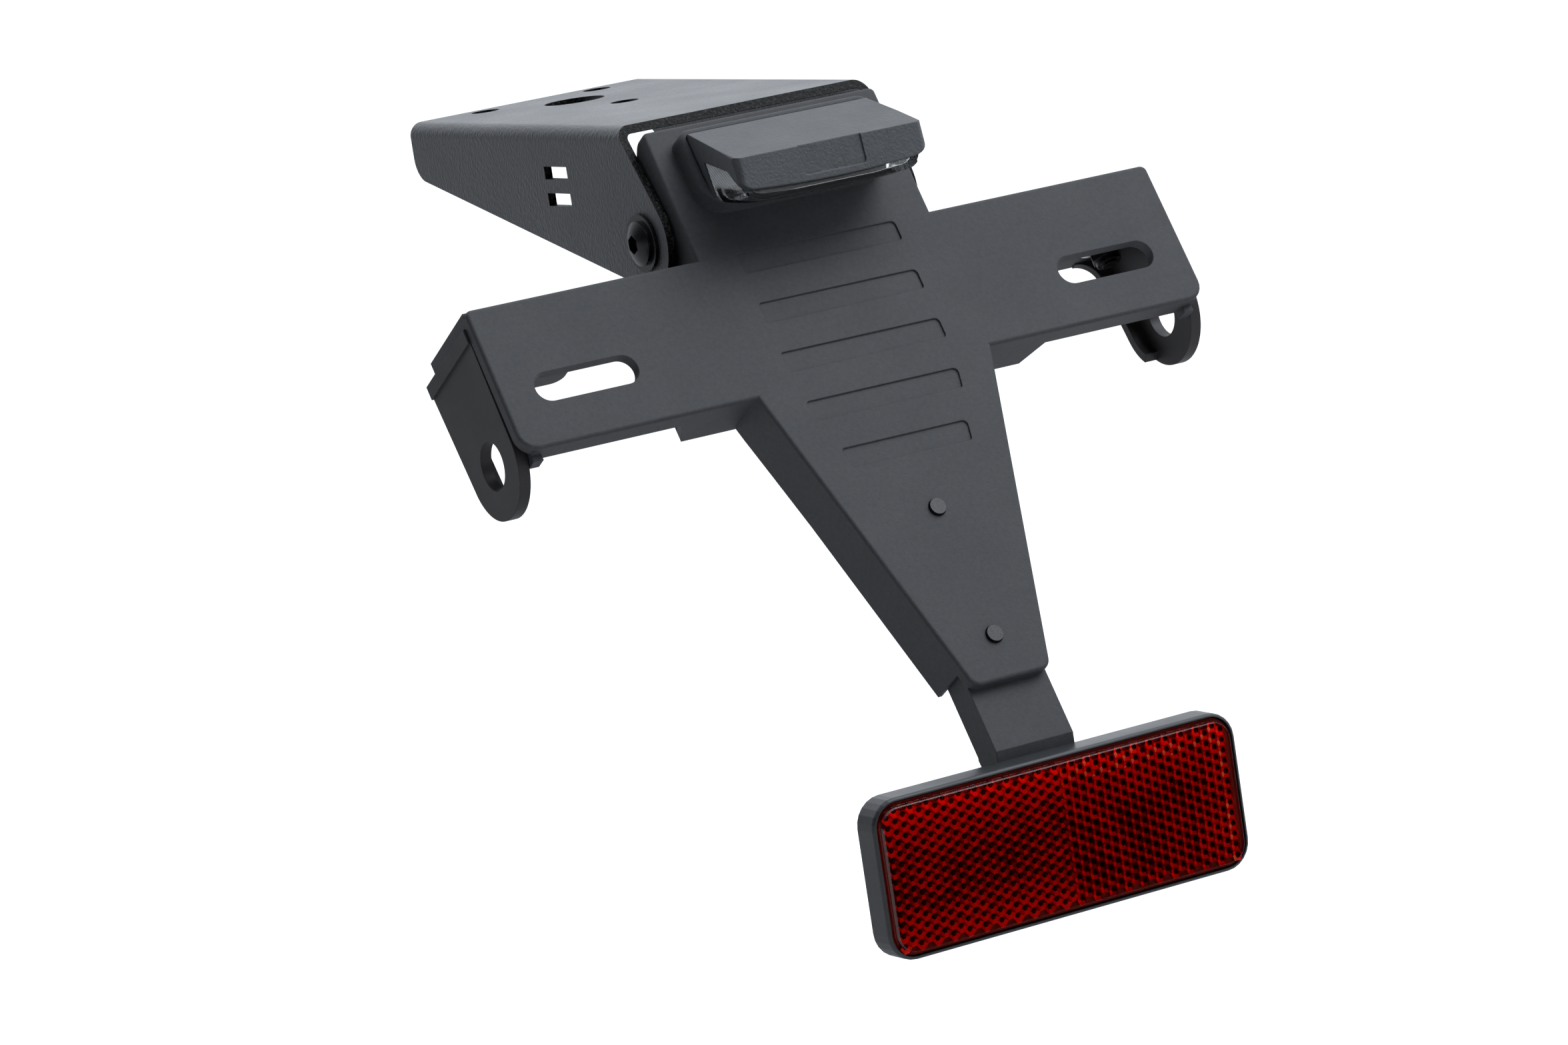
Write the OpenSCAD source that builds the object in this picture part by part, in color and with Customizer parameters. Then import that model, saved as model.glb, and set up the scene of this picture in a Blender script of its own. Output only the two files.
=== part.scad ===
// Tail tidy for a motorbike: a folded steel bracket, a moulded plate holder that
// tilts on two pivot bolts, a plate light, two signal brackets and a rear reflector.
// Frame: the top plate lies flat, +Z up, -Y to the rear, origin on its top face at
// the centre of the cable hole. Millimetres.

/* [Top bracket] */
// Distance from the cable hole to the front edge of the top plate
plate_front = 24.3; // [20:0.1:30]
// Distance from the cable hole to the rear edge of the top plate
plate_rear = 83.5; // [81:0.5:90]
// Outside width over the two cheeks
bracket_w = 68; // [66:0.5:72]
// Thickness of the folded sheet
sheet_t = 2; // [1.6:0.1:3]
// Outside radius of the two folds
fold_r = 3.4; // [2.6:0.2:5]
// Depth of each cheek at its front end
cheek_front_h = 14.6; // [13:0.2:18]
// Radius of the lower front corner of each cheek
cheek_corner_r = 6; // [4:0.5:8]
// Radius of the round lobe about each pivot
lobe_r = 11.2; // [9.5:0.1:12]
// Diameter of the cable hole
cable_hole_d = 15; // [10:0.5:18]
// Diameter of the three fixing holes
fixing_hole_d = 7; // [5:0.1:8.4]
// Distance of the front fixing holes from the centre line
fixing_front_x = 15.8; // [14:0.1:20]
// Distance of the front fixing holes ahead of the cable hole
fixing_front_y = 17.8; // [14:0.1:19]
// Distance of the rear fixing hole behind the cable hole
fixing_rear_y = 26.2; // [18:0.2:30]
// Length of the cable tie slots in the cheeks
tie_slot_l = 11.4; // [8:0.2:14]
// Height of the cable tie slots
tie_slot_h = 3.1; // [2:0.1:4]
// Distance between the two slots of a pair
tie_slot_pitch = 6.4; // [5.5:0.1:8]
// Depth of the upper slot below the top face
tie_slot_drop = 11.2; // [10:0.1:12]
// Distance of the slots behind the cable hole
tie_slot_back = 50.8; // [46:0.2:64]

/* [Pivot] */
// Distance of the pivot behind the rear edge of the top plate
pivot_beyond = 6.5; // [5:0.1:9]
// Depth of the pivot below the top face
pivot_drop = 26.9; // [26:0.1:30]
// Angle of the plate holder from upright
tilt = 31.1; // [20:0.1:36]
// Depth of the pivot behind the face of the plate holder
pin_depth = 14.7; // [14:0.1:17]
// Height of the pivot above the top edge of the arms
pin_height = 14.2; // [13.6:0.1:15]
// Thread size of the pivot bolts
pivot_d = 6; // [5:1:6]
// Radial running clearance of a pivot bolt in its cheek
pivot_clear = 0.05; // [0.03:0.01:0.1]
// Radius of the pivot bosses of the holder
boss_r = 9.5; // [8.5:0.1:10]
// Length of each pivot boss
boss_l = 11; // [8:0.5:13]

/* [Plate holder] */
// Span over the two arms
arm_span = 184; // [176:1:200]
// Height of the arms
arm_h = 36; // [34:0.5:42]
// Gap between a cheek and the side of the spine
side_gap = 0.6; // [0.3:0.1:1]
// Height of the spine above the top edge of the arms
spine_top = 34.8; // [34:0.1:36]
// Length of the tail below the top edge of the arms
tail_l = 115.8; // [112:0.2:122]
// Width of the tail at its lower end
tail_w = 20.6; // [20:0.2:26]
// Thickness of the face
face_t = 3; // [2.4:0.1:3.4]
// Thickness of the moulded walls
wall_t = 2.6; // [2:0.1:3.2]
// Radius along the edges of the face
edge_r = 0.8; // [0.5:0.1:2.4]
// Depth of the spine and tail walls
skirt_d = 15.2; // [13:0.1:16]
// Depth of the wall along the top of the arms
arm_top_d = 25.2; // [25:0.1:29]
// Depth of the wall along the bottom of the arms
arm_bottom_d = 6; // [4:0.5:8]
// Length of the deep block beside the spine under each arm
block_l = 14.5; // [10:0.5:18]
// Length of the plate slots
slot_l = 26.4; // [22:0.2:30]
// Width of the plate slots
slot_w = 7.3; // [6:0.1:8]
// Distance of a plate slot's centre from the end of its arm
slot_inset = 22; // [18:0.5:30]
// Depth of the plate slots below the top edge of the arms
slot_drop = 21.9; // [18:0.1:24]
// Width of the upper three ribs in the face
rib_w = 42.6; // [38:0.2:50]
// Height of a rib
rib_h = 5.2; // [4:0.1:6]
// Distance from one rib to the next
rib_pitch = 13.15; // [12:0.05:13.4]
// Depth of the ribs in the face
rib_d = 0.4; // [0.2:0.1:1]

/* [Plate light] */
// Width of the pad under the light
pad_w = 51.6; // [51:0.2:56]
// Height of the pad under the light
pad_h = 20.4; // [20:0.2:22]
// Thickness of the pad
pad_t = 5.5; // [5:0.1:6]
// Height of the pad's lower edge above the arms
pad_z = 10.8; // [8:0.1:11]
// Distance of the hood's brow in front of the face
hood_reach = 22.8; // [20:0.2:26]
// Height of the hood's brow above the arms
hood_brow_h = 13.1; // [12:0.1:15]
// Height of the hood's front face in the middle
hood_face_h = 8.4; // [7:0.1:9]
// Lean of the hood's front face
hood_rake = 19.2; // [10:0.2:24]
// How much wider each side of the hood is at its front
hood_flare = 1.2; // [0.2:0.1:1.6]
// Wall of the hood
hood_t = 1.6; // [1.2:0.1:2]
// Wall of the clear lens
light_lens_t = 1.4; // [1:0.1:1.6]
// Distance between the two fixing screws of the light
light_screw_spacing = 33; // [30:0.5:34]

/* [Signal brackets] */
// Thickness of the signal bracket plates
signal_t = 2.8; // [2.6:0.1:3.8]
// Diameter of the hole for the signal stalk
signal_hole_d = 11.5; // [8:0.1:14]
// Radius of the round lower end
signal_end_r = 12.7; // [11.5:0.1:14]
// Depth of the signal hole below the arm's top edge
signal_drop = 31; // [28:0.5:38]
// Length of the top edge of the plate
signal_top_l = 27.4; // [26:0.2:32]
// Length of the flange that lies under the arm
signal_flange_l = 29; // [20:0.5:34]
// Thread size of the signal bracket bolts
signal_bolt_d = 4; // [3:1:4]

/* [Reflector] */
// Width of the reflector housing
reflector_w = 96.8; // [88:0.2:105]
// Height of the reflector housing
reflector_h = 36.9; // [34:0.1:42]
// Depth of the reflector housing
reflector_d = 7.2; // [5.5:0.1:8]
// Radius of the housing's corners
reflector_r = 6.5; // [4:0.5:8]
// Width of the strap
strap_w = 20.6; // [18:0.2:20.6]
// Depth of the strap's side walls
strap_d = 8.4; // [7:0.1:10]
// Thickness of the strap
strap_t = 2.2; // [1.6:0.1:3]
// Length of the strap from its upper end to its bend
strap_l = 69; // [66:0.2:80]
// Angle of the bend that sets the reflector upright
strap_bend = 31.1; // [20:0.1:36]
// Thread size of the strap screws
strap_screw_d = 4; // [3:0.5:4]
// Distance between the two strap screws
strap_screw_pitch = 33; // [28:0.5:36]
// Thread size of the reflector stud
stud_d = 5; // [4:1:6]

/* [Hidden] */
$fn = 64;
eps = 0.01;
far = 400;

// Colours
coat_black = [0.16, 0.17, 0.18];
plastic_black = [0.20, 0.20, 0.21];
bracket_black = [0.17, 0.16, 0.17];
bolt_black = [0.08, 0.08, 0.09];
zinc = [0.75, 0.77, 0.78];
clear = [0.85, 0.88, 0.9, 0.6];
lens_red = [0.7, 0.03, 0.02];
board_white = [0.88, 0.9, 0.88];

// Places that follow from the sizes above
pivot_back = plate_rear + pivot_beyond;
slot_spacing = arm_span - 2 * slot_inset;
cheek_in = bracket_w / 2 - sheet_t;
spine_x = cheek_in - side_gap;
arm_x = arm_span / 2;

// Shared sizes of the fasteners, by thread
function nut_af(d) = d == 3 ? 5.5 : d == 4 ? 7 : d == 5 ? 8 : 10;
function nut_h(d) = d == 3 ? 4 : d == 4 ? 5 : d == 5 ? 5 : 6;

// The frame of the plate holder: x across, y into the holder from its face,
// z up the face from the top edge of the arms
module holder_frame() {
  translate([0, -pivot_back, -pivot_drop]) rotate([-tilt, 0, 0])
    translate([0, -pin_depth, -pin_height]) children();
}

// An outline in y and z, run along x from x0 for a length l
module along_x(x0, l) {
  translate([x0, 0, 0]) rotate([90, 0, 90]) linear_extrude(l) children();
}

// An outline in x and z, run into the holder from y0 for a depth d
module into_y(y0, d) {
  translate([0, y0 + d, 0]) rotate([90, 0, 0]) linear_extrude(d) children();
}

// A round bar along x, y or z from a start point
module bar_x(p, r, l) translate(p) rotate([0, 90, 0]) cylinder(r = r, h = l);
module bar_y(p, r, l) translate(p) rotate([-90, 0, 0]) cylinder(r = r, h = l);

module both_sides() {
  children();
  mirror([1, 0, 0]) children();
}

module side(s) {
  if (s > 0) children();
  else mirror([1, 0, 0]) children();
}

// Geometry of tangents and rounded outlines
function unit(v) = v / norm(v);
function polar(r, a) = r * [cos(a), sin(a)];
// Point where the line from p touches the circle at c; s picks the side. The line is
// set a hair inside the circle, so that the two cross cleanly
hair = 0.998;
function touch(c, r, p, s) =
  let (d = p - c, a = atan2(d.y, d.x)) c + polar(hair * r, a + s * acos(hair * r / norm(d)));
// Point on circle 1 of the common outer tangent of two circles
function tangent(c1, r1, c2, r2, s) =
  let (d = c2 - c1, a = atan2(d.y, d.x)) c1 + polar(hair * r1, a + s * acos(hair * (r1 - r2) / norm(d)));
// Corner p1 of an outline that runs anticlockwise, moved inwards by d
function inset_corner(p0, p1, p2, d) =
  let (u = unit(p1 - p0), w = unit(p2 - p1), n1 = [-u.y, u.x], n2 = [-w.y, w.x])
  p1 + d * (n1 + n2) / (1 + n1 * n2);
function inset(pts, d) =
  let (n = len(pts)) [for (i = [0 : n - 1])
    inset_corner(pts[(i + n - 1) % n], pts[i], pts[(i + 1) % n], d)];
// Arc that rounds the corner p1 with radius r
function corner_arc(p0, p1, p2, r, steps) =
  let (u = unit(p0 - p1), w = unit(p2 - p1), half = acos(u * w) / 2,
       c = p1 + unit(u + w) * r / sin(half),
       a = p1 + u * r / tan(half) - c, b = p1 + w * r / tan(half) - c,
       start = atan2(a.y, a.x), sweep = atan2(a.x * b.y - a.y * b.x, a * b))
  [for (i = [0 : steps]) c + polar(r, start + sweep * i / steps)];
function turns_left(p0, p1, p2) =
  let (u = p1 - p0, w = p2 - p1) u.x * w.y - u.y * w.x > 0;
// Rounded outline, inset by d; radii shrink on outer corners and grow on inner ones
function rounded(pts, radii, d, steps) =
  let (n = len(pts), q = inset(pts, d)) [for (i = [0 : n - 1])
    let (p0 = q[(i + n - 1) % n], p2 = q[(i + 1) % n],
         r = turns_left(p0, q[i], p2) ? max(radii[i] - d, 0.05) : radii[i] + d)
    each corner_arc(p0, q[i], p2, r, steps)];

// A flat shape with a quarter-round front edge: its outline is in x and z, its
// front at y0, its back at y0 + t
module round_fronted(pts, radii, y0, t, r) {
  layers = 4;
  steps = 6;
  rings = concat(
    [for (k = [0 : layers]) let (a = 90 * k / layers)
      [for (p = rounded(pts, radii, r * (1 - sin(a)), steps)) [p.x, y0 + r * (1 - cos(a)), p.y]]],
    [[for (p = rounded(pts, radii, 0, steps)) [p.x, y0 + t, p.y]]]);
  n = len(rings[0]);
  m = len(rings);
  polyhedron(
    points = [for (ring = rings) each ring],
    faces = concat(
      [[for (i = [n - 1 : -1 : 0]) i]],
      [[for (i = [0 : n - 1]) (m - 1) * n + i]],
      [for (k = [0 : m - 2], i = [0 : n - 1])
        [k * n + i, k * n + (i + 1) % n, (k + 1) * n + (i + 1) % n, (k + 1) * n + i]]));
}

function box_pts(x0, z0, x1, z1) = [[x0, z0], [x1, z0], [x1, z1], [x0, z1]];

// Button head with a hexagon socket and a flange, head along -z of its own axis
module button_bolt(d, l, flange_d) {
  head_d = 1.75 * d;
  head_h = 0.55 * d;
  flange_h = 0.15 * d;
  socket = 0.66 * d;
  difference() {
    union() {
      cylinder(d = d, h = l);
      translate([0, 0, -flange_h]) cylinder(d = flange_d, h = flange_h);
      translate([0, 0, -head_h]) intersection() {
        cylinder(d = head_d, h = head_h);
        translate([0, 0, 0.92 * head_d]) sphere(r = 0.92 * head_d);
      }
    }
    translate([0, 0, -head_h - eps]) cylinder(d = socket / cos(30), h = 0.35 * d, $fn = 6);
  }
}

// Self-locking nut with a plain thread bore, its seat at z = 0
module lock_nut(d) {
  difference() {
    union() {
      cylinder(d = nut_af(d) / cos(30), h = 0.75 * nut_h(d), $fn = 6);
      cylinder(d = 0.9 * nut_af(d), h = nut_h(d));
    }
    translate([0, 0, -eps]) cylinder(d = d, h = nut_h(d) + 2 * eps);
  }
}

module flat_washer(d, outer, t) {
  difference() {
    cylinder(d = outer, h = t);
    translate([0, 0, -eps]) cylinder(d = d + 0.3, h = t + 2 * eps);
  }
}

// Top bracket
pivot = [-pivot_back, -pivot_drop];
corner_c = [plate_front - cheek_corner_r, -cheek_front_h + cheek_corner_r];

module cheek_outline() {
  rear_top = [-plate_rear, 0];
  polygon([rear_top, [plate_front, 0], [plate_front, corner_c.y], corner_c,
    tangent(corner_c, cheek_corner_r, pivot, lobe_r, 1),
    tangent(pivot, lobe_r, corner_c, cheek_corner_r, -1),
    pivot, touch(pivot, lobe_r, rear_top, 1)]);
}

module cheek_rounds() {
  bar_x([cheek_in, pivot.x, pivot.y], lobe_r, sheet_t);
  intersection() {
    bar_x([cheek_in, corner_c.x, corner_c.y], cheek_corner_r, sheet_t);
    translate([cheek_in - 1, corner_c.x - 3, corner_c.y - cheek_corner_r - 1])
      cube([sheet_t + 2, cheek_corner_r + 4, cheek_corner_r + 1]);
  }
}

module channel_section() {
  depth = pivot_drop + lobe_r + 1;
  difference() {
    channel_solid(bracket_w / 2, fold_r, 0, depth);
    channel_solid(cheek_in, fold_r - sheet_t, -sheet_t, depth + 1);
  }
}

// Half-round-cornered block from its top edge at z1 down to -depth
module channel_solid(half, r, z1, depth) {
  translate([-half, -depth]) square([2 * half, depth + z1 - r]);
  translate([-half + r, -depth]) square([2 * (half - r), depth + z1]);
  for (s = [-1, 1]) translate([s * (half - r), z1 - r]) circle(r);
}

module top_bracket() {
  reach = plate_rear + plate_front + 60;
  color(coat_black) difference() {
    union() {
      intersection() {
        translate([0, plate_front + 20, 0]) rotate([90, 0, 0]) linear_extrude(reach) channel_section();
        along_x(-bracket_w, 2 * bracket_w) cheek_outline();
      }
      both_sides() cheek_rounds();
    }
    translate([0, 0, -far / 2]) cylinder(d = cable_hole_d, h = far);
    for (p = [[-fixing_front_x, fixing_front_y], [fixing_front_x, fixing_front_y], [0, -fixing_rear_y]])
      translate([p.x, p.y, -far / 2]) cylinder(d = fixing_hole_d, h = far);
    bar_x([-bracket_w, pivot.x, pivot.y], pivot_d / 2 + pivot_clear, 2 * bracket_w);
    for (k = [0, 1]) translate([-bracket_w, -tie_slot_back - tie_slot_l / 2,
        -tie_slot_drop - k * tie_slot_pitch - tie_slot_h / 2])
      cube([2 * bracket_w, tie_slot_l, tie_slot_h]);
  }
}

// Pivot bolts and nuts
module pivot_bolt(s) {
  color(bolt_black) side(s) translate([bracket_w / 2, pivot.x, pivot.y]) rotate([0, -90, 0])
    button_bolt(pivot_d, sheet_t + side_gap + boss_l + nut_h(pivot_d) + 1.5, 2.27 * pivot_d);
}

module pivot_nut(s) {
  color(zinc) side(s) translate([spine_x - boss_l, pivot.x, pivot.y]) rotate([-tilt, 0, 0])
    rotate([0, -90, 0]) lock_nut(pivot_d);
}

// Plate holder
tail_x = tail_w / 2;
pin = [pin_depth, pin_height];
lip_d = face_t;
arm_rise = 0.5;
arm_pts = box_pts(-arm_x, -arm_h, arm_x, arm_rise);
arm_radii = [4.5, 4.5, 1.6, 1.6];
spine_pts = [[-tail_x, -tail_l], [tail_x, -tail_l], [spine_x, -arm_h],
  [spine_x, spine_top], [-spine_x, spine_top], [-spine_x, -arm_h]];
spine_radii = [3, 3, 1, 1.4, 1.4, 1];
tail_slope = (spine_x - tail_x) / (tail_l - arm_h);
skirt_end = tail_l - 4.6;
signal_out = 0.1;
arm_end_gap = signal_t - signal_out;

module wall_side_outline() {
  lip = [lip_d, spine_top];
  polygon([[face_t / 2, -skirt_end], [skirt_d - 0.6, -skirt_end], [skirt_d - 0.8, -arm_h - 28],
    [skirt_d - 0.4, -arm_h - 14], [skirt_d, -arm_h - 3], [skirt_d, pin.y], pin,
    touch(pin, boss_r, lip, -1), lip, [face_t / 2, spine_top]]);
  translate(pin) circle(boss_r);
}

module spine_walls() {
  steps = 6;
  intersection() {
    into_y(face_t / 2, far / 2) difference() {
      polygon(rounded(spine_pts, spine_radii, 0, steps));
      polygon(rounded(spine_pts, spine_radii, wall_t, steps));
    }
    along_x(-spine_x - 1, 2 * spine_x + 2) wall_side_outline();
  }
}

module pivot_boss() {
  inner = spine_x - boss_l;
  bar_x([inner, pin.x, pin.y], boss_r, boss_l - wall_t / 2);
  bar_x([spine_x - wall_t / 2, pin.x, pin.y], boss_r, wall_t / 2 + side_gap - 0.1);
}

module arm_walls() {
  arm_in = spine_x - wall_t;
  end = arm_x - arm_end_gap - 0.2;
  translate([arm_in, face_t / 2, -wall_t]) cube([arm_x - arm_in, arm_top_d - face_t / 2, wall_t + arm_rise]);
  translate([arm_in, face_t / 2, -arm_h]) cube([end - arm_in, arm_bottom_d - face_t / 2, wall_t]);
  // deep block beside the spine, with its slanting outer end
  chamfer = 3.2;
  translate([0, 0, -arm_h]) linear_extrude(wall_t) polygon([
    [arm_in, face_t / 2], [spine_x + block_l + chamfer, face_t / 2],
    [spine_x + block_l + chamfer, arm_bottom_d], [spine_x + block_l, skirt_d], [arm_in, skirt_d]]);
  // cross rib that stiffens the arm where it leaves the spine
  along_x(spine_x + block_l - wall_t, wall_t) polygon([
    [face_t / 2, -arm_h], [skirt_d, -arm_h], [skirt_d, 0], [face_t / 2, 0]]);
}

// Locating tab inside each signal bracket
tab_w = 2.6;
tab_x = arm_x - arm_end_gap - 0.2 - tab_w;
module locating_tab() {
  translate([tab_x, arm_bottom_d - 2.7, -arm_h - 1.6]) cube([tab_w, 3.4, 1.6 + wall_t]);
}

function rib_bottom_x(k) = rib_w / 2 - (k < 3 ? 0 : 1.7 + (k - 3) * 3.5);
module rib(k) {
  z = -k * rib_pitch;
  top = k < 3 ? rib_w / 2 : rib_bottom_x(k) + 0.9;
  pts = [[-rib_bottom_x(k), z - rib_h], [rib_bottom_x(k), z - rib_h], [top, z], [-top, z]];
  into_y(-1, 1 + rib_d) polygon(rounded(pts, [0.8, 0.8, 1.2, 0.8], 0, 5));
}

module plate_slot() {
  run = slot_l - slot_w;
  for (e = [-1, 1]) bar_y([slot_spacing / 2 + e * run / 2, -1, -slot_drop], slot_w / 2, face_t + 2);
  translate([slot_spacing / 2 - run / 2, -1, -slot_drop - slot_w / 2]) cube([run, face_t + 2, slot_w]);
}

screw_z = [-tail_l + 43.9, -tail_l + 43.9 - strap_screw_pitch];
light_z = pad_z + pad_h / 2 - 0.7;
pad_floor = 1.5;
pad_lip = 1.5;
pad_radii = [7, 7, 3, 3];
function less(radii, d) = [for (r = radii) r - d];

module light_pad() {
  x = pad_w / 2;
  round_fronted(box_pts(-x, pad_z, x, pad_z + pad_h), pad_radii, -pad_t, pad_t + face_t / 2, 1.4);
}

module light_pocket() {
  x = pad_w / 2 - pad_lip;
  into_y(-pad_t - 1, pad_t + 1 - pad_floor)
    polygon(rounded(box_pts(-x, pad_z + pad_lip, x, pad_z + pad_h - pad_lip), less(pad_radii, pad_lip), 0, 6));
}

module plate_holder() {
  color(plastic_black) holder_frame() difference() {
    union() {
      round_fronted(arm_pts, arm_radii, 0, face_t, edge_r);
      round_fronted(spine_pts, spine_radii, 0, face_t, edge_r);
      spine_walls();
      both_sides() {
        pivot_boss();
        arm_walls();
        locating_tab();
      }
      light_pad();
    }
    light_pocket();
    both_sides() {
      plate_slot();
      bar_x([0, pin.x, pin.y], pivot_d / 2, spine_x + 5);
      bar_y([light_screw_spacing / 2, -pad_t, light_z], 2.2, pad_t + face_t + 1);
      translate([signal_bolt_x, signal_bolt_y, -wall_t - 1]) cylinder(d = signal_bolt_d + 0.4, h = wall_t + 2);
    }
    bar_y([0, -pad_t, light_z], 3.5, pad_t + face_t + 1);
    for (k = [0 : 4]) rib(k);
    for (z = screw_z) bar_y([0, -1, z], strap_screw_d / 2 + 0.15, face_t + 2);
    // room for the strap between the tail walls
    translate([-strap_w / 2 - 0.2, face_t, -tail_l - 1]) cube([strap_w + 0.4, far / 4, strap_in + 1]);
  }
}

// Plate light
hood_rear = 3.5;
light_gap = 0.2;
lens_gap = 0.15;
hood_half = pad_w / 2 - pad_lip - light_gap;
hood_in = hood_half - hood_t;
lens_half = hood_in - lens_gap;
pane_half = hood_half - 0.1;
light_top = pad_z + pad_h - pad_lip - light_gap;
light_low = pad_z + pad_lip + light_gap;
light_radii = less(pad_radii, pad_lip + light_gap);
hood_brow = [-hood_reach, hood_brow_h];
hood_down = [sin(hood_rake), -cos(hood_rake)];
hood_chin = hood_brow + hood_face_h * hood_down;
hood_knee = [-pad_t - 1, light_top - 0.3];
light_floor = [-pad_t - 2, light_low - 1.6];
roof_slope = atan2(hood_knee.y - hood_brow.y, hood_knee.x - hood_brow.x);

// Side outline of the hood, from the pocket forward over the brow to the chin
hood_side = [[-hood_rear, light_top], hood_knee, hood_brow, hood_chin + 3 * hood_down, light_floor,
  [-pad_t - 0.3, light_low], [-hood_rear, light_low]];

// The same outline left open below and behind, which gives the walls inside it
hood_open = [[6 - hood_rear, light_top + 0.6], hood_knee, hood_brow, hood_brow + 30 * hood_down,
  [6 - hood_rear, hood_brow.y - 30]];

// Cut-out in each side of the hood, open below
window = [hood_knee + [-1.9, -8.7], hood_brow + [5.3, -0.35], hood_brow + [4, -4.1],
  hood_brow + [4, -4.1] + 9 * hood_down, light_floor + [0.5, -9], light_floor + [0.5, 2.1]];

// Shape seen square to the front face: rounded lower corners and a lower edge that bows down
module front_trim(half, side_h, mid_h, r) {
  bow = mid_h + 0.6;
  translate([0, hood_brow.x, hood_brow.y]) rotate([hood_rake, 0, 0]) into_y(-40, 80)
    polygon(rounded([[-half, -side_h], [0, -bow], [half, -side_h], [half, 50], [-half, 50]],
      [r, 0.72 * half * half / (bow - side_h), r, 1, 1], 0, 8));
}

// Softens the side edges of the roof
module roof_trim() {
  x = hood_half + hood_flare + 0.25;
  translate([0, hood_brow.x, hood_brow.y]) rotate([roof_slope, 0, 0]) into_y(-20, 80)
    polygon(rounded(box_pts(-x, -60, x, 0.35), [1, 1, 1.8, 1.8], 0, 6));
}

// Softens the two upright corners of the front face
module front_corners() {
  x = hood_half + hood_flare;
  translate([0, hood_brow.x, hood_brow.y]) rotate([hood_rake, 0, 0]) translate([0, 0, -40])
    linear_extrude(80) polygon(rounded(box_pts(-x, -0.02, x, 60), [2, 2, 1, 1], 0, 6));
}

// Everything in front of the pad, and the round-cornered part that fits its pocket
module pocket_trim(x, z, radii) {
  translate([-far / 2, -far - pad_t - 0.1, -far / 2]) cube([far, far, far]);
  into_y(-pad_t - 1, pad_t) polygon(rounded(box_pts(-x, z, x, light_top), radii, 0, 6));
}

module light_hood() {
  taper = atan2(hood_flare, hood_reach - pad_t);
  x = hood_half + hood_flare;
  color(plastic_black) holder_frame() difference() {
    intersection() {
      along_x(-x - 1, 2 * x + 2) polygon(hood_side);
      front_trim(x + 0.05, hood_face_h - 1.1, hood_face_h, 4.2);
      roof_trim();
      front_corners();
      pocket_trim(hood_half, light_low, light_radii);
    }
    along_x(-hood_in, 2 * hood_in) polygon(inset(hood_open, hood_t));
    both_sides() {
      translate([hood_half, -pad_t, 0]) rotate([0, 0, taper]) translate([0, -2 * hood_reach, -5])
        cube([hood_half, 2 * hood_reach, 3 * pad_h]);
      along_x(hood_in - 1, hood_half) polygon(window);
    }
    recess();
  }
}

// Shallow bare recess in the front face of the hood
module recess() {
  translate([0, hood_brow.x, hood_brow.y]) rotate([hood_rake, 0, 0]) into_y(-3, 3.35)
    polygon(rounded(box_pts(-8.4, -6.9, 8.4, 0.8), [1.2, 1.2, 0.6, 0.6], 0, 5));
}

// Space over the lower line of the lens, whose back lies at y = back
lens_drop = 2.4;
function lens_space(back) = let (heel = light_floor + [-0.8, -1.4], toe = hood_chin + [1.8, -lens_drop])
  [[back, 60], [-60, 60], heel + 3 * (toe - heel), heel,
   [-pad_t - 0.3, light_low + lens_gap], [back, light_low + lens_gap]];

module light_lens() {
  t = light_lens_t;
  side_h = hood_face_h + lens_drop - 0.9;
  x = lens_half - t;
  color(clear) holder_frame() difference() {
    intersection() {
      union() {
        along_x(-lens_half, 2 * lens_half) polygon(inset(hood_open, hood_t + lens_gap));
        both_sides() along_x(lens_half - 0.5, pane_half - lens_half + 0.5) polygon(inset(window, lens_gap));
      }
      along_x(-hood_half, 2 * hood_half) polygon(lens_space(-hood_rear));
      front_trim(pane_half + 0.05, side_h, side_h + 0.9, 5);
      pocket_trim(lens_half, light_low, less(light_radii, hood_t + lens_gap));
    }
    intersection() {
      along_x(-x, 2 * x) polygon(inset(hood_open, hood_t + lens_gap + t));
      along_x(-hood_half, 2 * hood_half) polygon(inset(lens_space(t + 1), t));
      front_trim(lens_half, side_h - t, side_h + 0.9 - t, 4);
    }
  }
}

// Circuit board on the slant under the roof of the hood
board_l = 25;
board_w = 9;
board_t = 1.2;
board_mid = (hood_knee + hood_brow) / 2 + (hood_t + light_lens_t + 1.6) * [sin(roof_slope), -cos(roof_slope)];

// Rib that carries the board: its upper edge lies along the board's underside
module board_rib_outline() {
  across = [cos(roof_slope), sin(roof_slope)];
  under = board_mid + board_t * [sin(roof_slope), -cos(roof_slope)];
  run = (-hood_rear + 0.1 - under.x) / across.x;
  polygon([under - 3 * across, under + run * across, [-hood_rear + 0.1, light_low + 2]]);
}

// Back plate of the light with its two screw posts and the cable outlet
module light_base() {
  post_r = 2.9;
  color(plastic_black) holder_frame() difference() {
    union() {
      into_y(-hood_rear, hood_rear - pad_floor) polygon(rounded(
        box_pts(-hood_half, light_low, hood_half, light_top), light_radii, 0, 6));
      for (s = [-1, 1]) {
        bar_y([s * light_screw_spacing / 2, -hood_rear - 4, light_z], post_r, 4.5);
        along_x(s * 11.2 - 0.7, 1.4) board_rib_outline();
      }
    }
    for (s = [-1, 1]) bar_y([s * light_screw_spacing / 2, -hood_rear - 3, light_z], 1.9, far / 4);
    bar_y([0, -hood_rear - 1, light_z], 2.6, far / 4);
  }
}

module board_frame() {
  translate([0, board_mid.x, board_mid.y]) rotate([roof_slope, 0, 0]) children();
}

module light_board() {
  color(board_white) holder_frame() board_frame()
    translate([-board_l / 2, -board_w / 2, -board_t]) cube([board_l, board_w, board_t]);
}

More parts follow.
